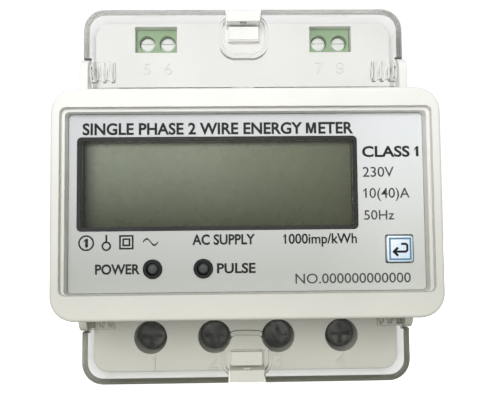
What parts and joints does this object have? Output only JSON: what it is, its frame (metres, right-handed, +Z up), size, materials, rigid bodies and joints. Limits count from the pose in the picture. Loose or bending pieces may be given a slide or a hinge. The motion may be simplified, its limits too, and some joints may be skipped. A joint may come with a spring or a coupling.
{
  "type": "single-phase rail energy meter",
  "caption": "Rail-mounted electronic energy meter with a raised display front, screw terminals under clear hinged covers and a sliding rail clip.",
  "frame": {"origin": "middle of the rail seat, on the plane where the rail's flanges bear", "axes": "+X to the right as seen from the front, -Y out of the front, +Z up"},
  "size_m": [0.076, 0.072, 0.0928],
  "materials": {
    "housing_white": "fine satin",
    "clear_cover": "clear polycarbonate",
    "faceplate_print": "printed matt sheet",
    "display_black": "gloss black",
    "clear_lens": "clear",
    "lcd_glass": "grey-green liquid crystal",
    "light_guide": "diffusing white",
    "board_green": "solder mask",
    "terminal_green": "moulded",
    "screw_steel": "zinc plated",
    "screw_dark": "dark passivated zinc",
    "screw_bright": "bright matt zinc",
    "cage_steel": "nickel plated",
    "bar_brass": "tinned brass",
    "shunt_alloy": "manganin",
    "pin_metal": "tinned",
    "lamp_lens": "tinted lens",
    "black_plastic": "moulded black",
    "key_plastic": "pale key",
    "switch_black": "moulded",
    "chip_black": "moulded",
    "capacitor_yellow": "moulded box",
    "capacitor_sleeve": "shrink sleeve",
    "varistor_blue": "dipped",
    "transformer_tape": "taped",
    "shield_metal": "tinned can",
    "clip_grey": "moulded"
  },
  "bodies": {
    "meter_body": {"base_housing": "housing_white", "front_housing": "housing_white", "faceplate": "faceplate_print", "display_gasket": "display_black", "display_lens": "clear_lens", "lcd_panel": "lcd_glass", "backlight_guide": "light_guide", "lcd_pins": "pin_metal", "board_header": "pin_metal", "power_led": "lamp_lens", "pulse_led": "lamp_lens", "led_holders": "black_plastic", "tact_switch": "switch_black", "main_board": "board_green", "display_board": "board_green", "aux_board": "board_green", "housing_screws": "screw_steel", "board_screws": "screw_steel", "display_screws": "screw_steel", "clip_spring": "screw_steel", "line_in_bar": "bar_brass", "line_out_bar": "bar_brass", "neutral_bar": "bar_brass", "aux_tongues": "bar_brass", "current_shunt": "shunt_alloy", "aux_block_left": "terminal_green", "aux_block_right": "terminal_green", "metering_chip": "chip_black", "latching_relay": "chip_black", "optocouplers": "chip_black", "supply_transformer": "transformer_tape", "line_capacitor": "capacitor_yellow", "bulk_capacitor": "capacitor_sleeve", "surge_varistor": "varistor_blue", "wifi_module": "shield_metal"},
    "top_cover": {"top_terminal_cover": "clear_cover"},
    "bottom_cover": {"bottom_terminal_cover": "clear_cover"},
    "button": {"push_button": "key_plastic"},
    "rail_clip": {"din_clip": "clip_grey"},
    "screw_1": {"terminal_screw_1": "screw_dark"},
    "cage_1": {"terminal_cage_1": "cage_steel"},
    "screw_2": {"terminal_screw_2": "screw_dark"},
    "cage_2": {"terminal_cage_2": "cage_steel"},
    "screw_3": {"terminal_screw_3": "screw_dark"},
    "cage_3": {"terminal_cage_3": "cage_steel"},
    "screw_4": {"terminal_screw_4": "screw_dark"},
    "cage_4": {"terminal_cage_4": "cage_steel"},
    "screw_5": {"aux_screw_5": "screw_bright"},
    "cage_5": {"aux_cage_5": "cage_steel"},
    "screw_6": {"aux_screw_6": "screw_bright"},
    "cage_6": {"aux_cage_6": "cage_steel"},
    "screw_7": {"aux_screw_7": "screw_bright"},
    "cage_7": {"aux_cage_7": "cage_steel"},
    "screw_8": {"aux_screw_8": "screw_bright"},
    "cage_8": {"aux_cage_8": "cage_steel"}
  },
  "joints": [
    {"name": "top_cover_hinge", "type": "hinge", "parent": "meter_body", "child": "top_cover", "pos_m": [0, -0.0435, 0.0319], "axis": [1, 0, 0], "range_deg": [0, 95]},
    {"name": "bottom_cover_hinge", "type": "hinge", "parent": "meter_body", "child": "bottom_cover", "pos_m": [0, -0.0435, -0.0253], "axis": [-1, 0, 0], "range_deg": [0, 95]},
    {"name": "button_press", "type": "slide", "parent": "meter_body", "child": "button", "axis": [0, 1, 0], "range_m": [0, 0.0005], "stiffness_N_per_m": 1500, "springref_m": -0.0003},
    {"name": "rail_clip_slide", "type": "slide", "parent": "meter_body", "child": "rail_clip", "axis": [0, 0, -1], "range_m": [0, 0.0035]},
    {"name": "screw_1_turn", "type": "hinge", "parent": "meter_body", "child": "screw_1", "pos_m": [-0.02295, -0.03, -0.031], "axis": [0, 1, 0], "range_deg": [0, 1800]},
    {"name": "cage_1_lift", "type": "slide", "parent": "meter_body", "child": "cage_1", "axis": [0, -1, 0], "range_m": [0, 0.004]},
    {"name": "screw_2_turn", "type": "hinge", "parent": "meter_body", "child": "screw_2", "pos_m": [-0.00765, -0.03, -0.031], "axis": [0, 1, 0], "range_deg": [0, 1800]},
    {"name": "cage_2_lift", "type": "slide", "parent": "meter_body", "child": "cage_2", "axis": [0, -1, 0], "range_m": [0, 0.004]},
    {"name": "screw_3_turn", "type": "hinge", "parent": "meter_body", "child": "screw_3", "pos_m": [0.00765, -0.03, -0.031], "axis": [0, 1, 0], "range_deg": [0, 1800]},
    {"name": "cage_3_lift", "type": "slide", "parent": "meter_body", "child": "cage_3", "axis": [0, -1, 0], "range_m": [0, 0.004]},
    {"name": "screw_4_turn", "type": "hinge", "parent": "meter_body", "child": "screw_4", "pos_m": [0.02295, -0.03, -0.031], "axis": [0, 1, 0], "range_deg": [0, 1800]},
    {"name": "cage_4_lift", "type": "slide", "parent": "meter_body", "child": "cage_4", "axis": [0, -1, 0], "range_m": [0, 0.004]},
    {"name": "screw_5_turn", "type": "hinge", "parent": "meter_body", "child": "screw_5", "pos_m": [-0.02411, -0.033, 0.04135], "axis": [0, 1, 0], "range_deg": [0, 1080]},
    {"name": "cage_5_lift", "type": "slide", "parent": "meter_body", "child": "cage_5", "axis": [0, -1, 0], "range_m": [0, 0.0015]},
    {"name": "screw_6_turn", "type": "hinge", "parent": "meter_body", "child": "screw_6", "pos_m": [-0.01903, -0.033, 0.04135], "axis": [0, 1, 0], "range_deg": [0, 1080]},
    {"name": "cage_6_lift", "type": "slide", "parent": "meter_body", "child": "cage_6", "axis": [0, -1, 0], "range_m": [0, 0.0015]},
    {"name": "screw_7_turn", "type": "hinge", "parent": "meter_body", "child": "screw_7", "pos_m": [0.01903, -0.033, 0.04135], "axis": [0, 1, 0], "range_deg": [0, 1080]},
    {"name": "cage_7_lift", "type": "slide", "parent": "meter_body", "child": "cage_7", "axis": [0, -1, 0], "range_m": [0, 0.0015]},
    {"name": "screw_8_turn", "type": "hinge", "parent": "meter_body", "child": "screw_8", "pos_m": [0.02411, -0.033, 0.04135], "axis": [0, 1, 0], "range_deg": [0, 1080]},
    {"name": "cage_8_lift", "type": "slide", "parent": "meter_body", "child": "cage_8", "axis": [0, -1, 0], "range_m": [0, 0.0015]}
  ],
  "couplings": [
    {"joint": "screw_1_turn", "follows": "cage_1_lift", "rad_per_m": 7854},
    {"joint": "screw_2_turn", "follows": "cage_2_lift", "rad_per_m": 7854},
    {"joint": "screw_3_turn", "follows": "cage_3_lift", "rad_per_m": 7854},
    {"joint": "screw_4_turn", "follows": "cage_4_lift", "rad_per_m": 7854},
    {"joint": "screw_5_turn", "follows": "cage_5_lift", "rad_per_m": 12566},
    {"joint": "screw_6_turn", "follows": "cage_6_lift", "rad_per_m": 12566},
    {"joint": "screw_7_turn", "follows": "cage_7_lift", "rad_per_m": 12566},
    {"joint": "screw_8_turn", "follows": "cage_8_lift", "rad_per_m": 12566}
  ]
}
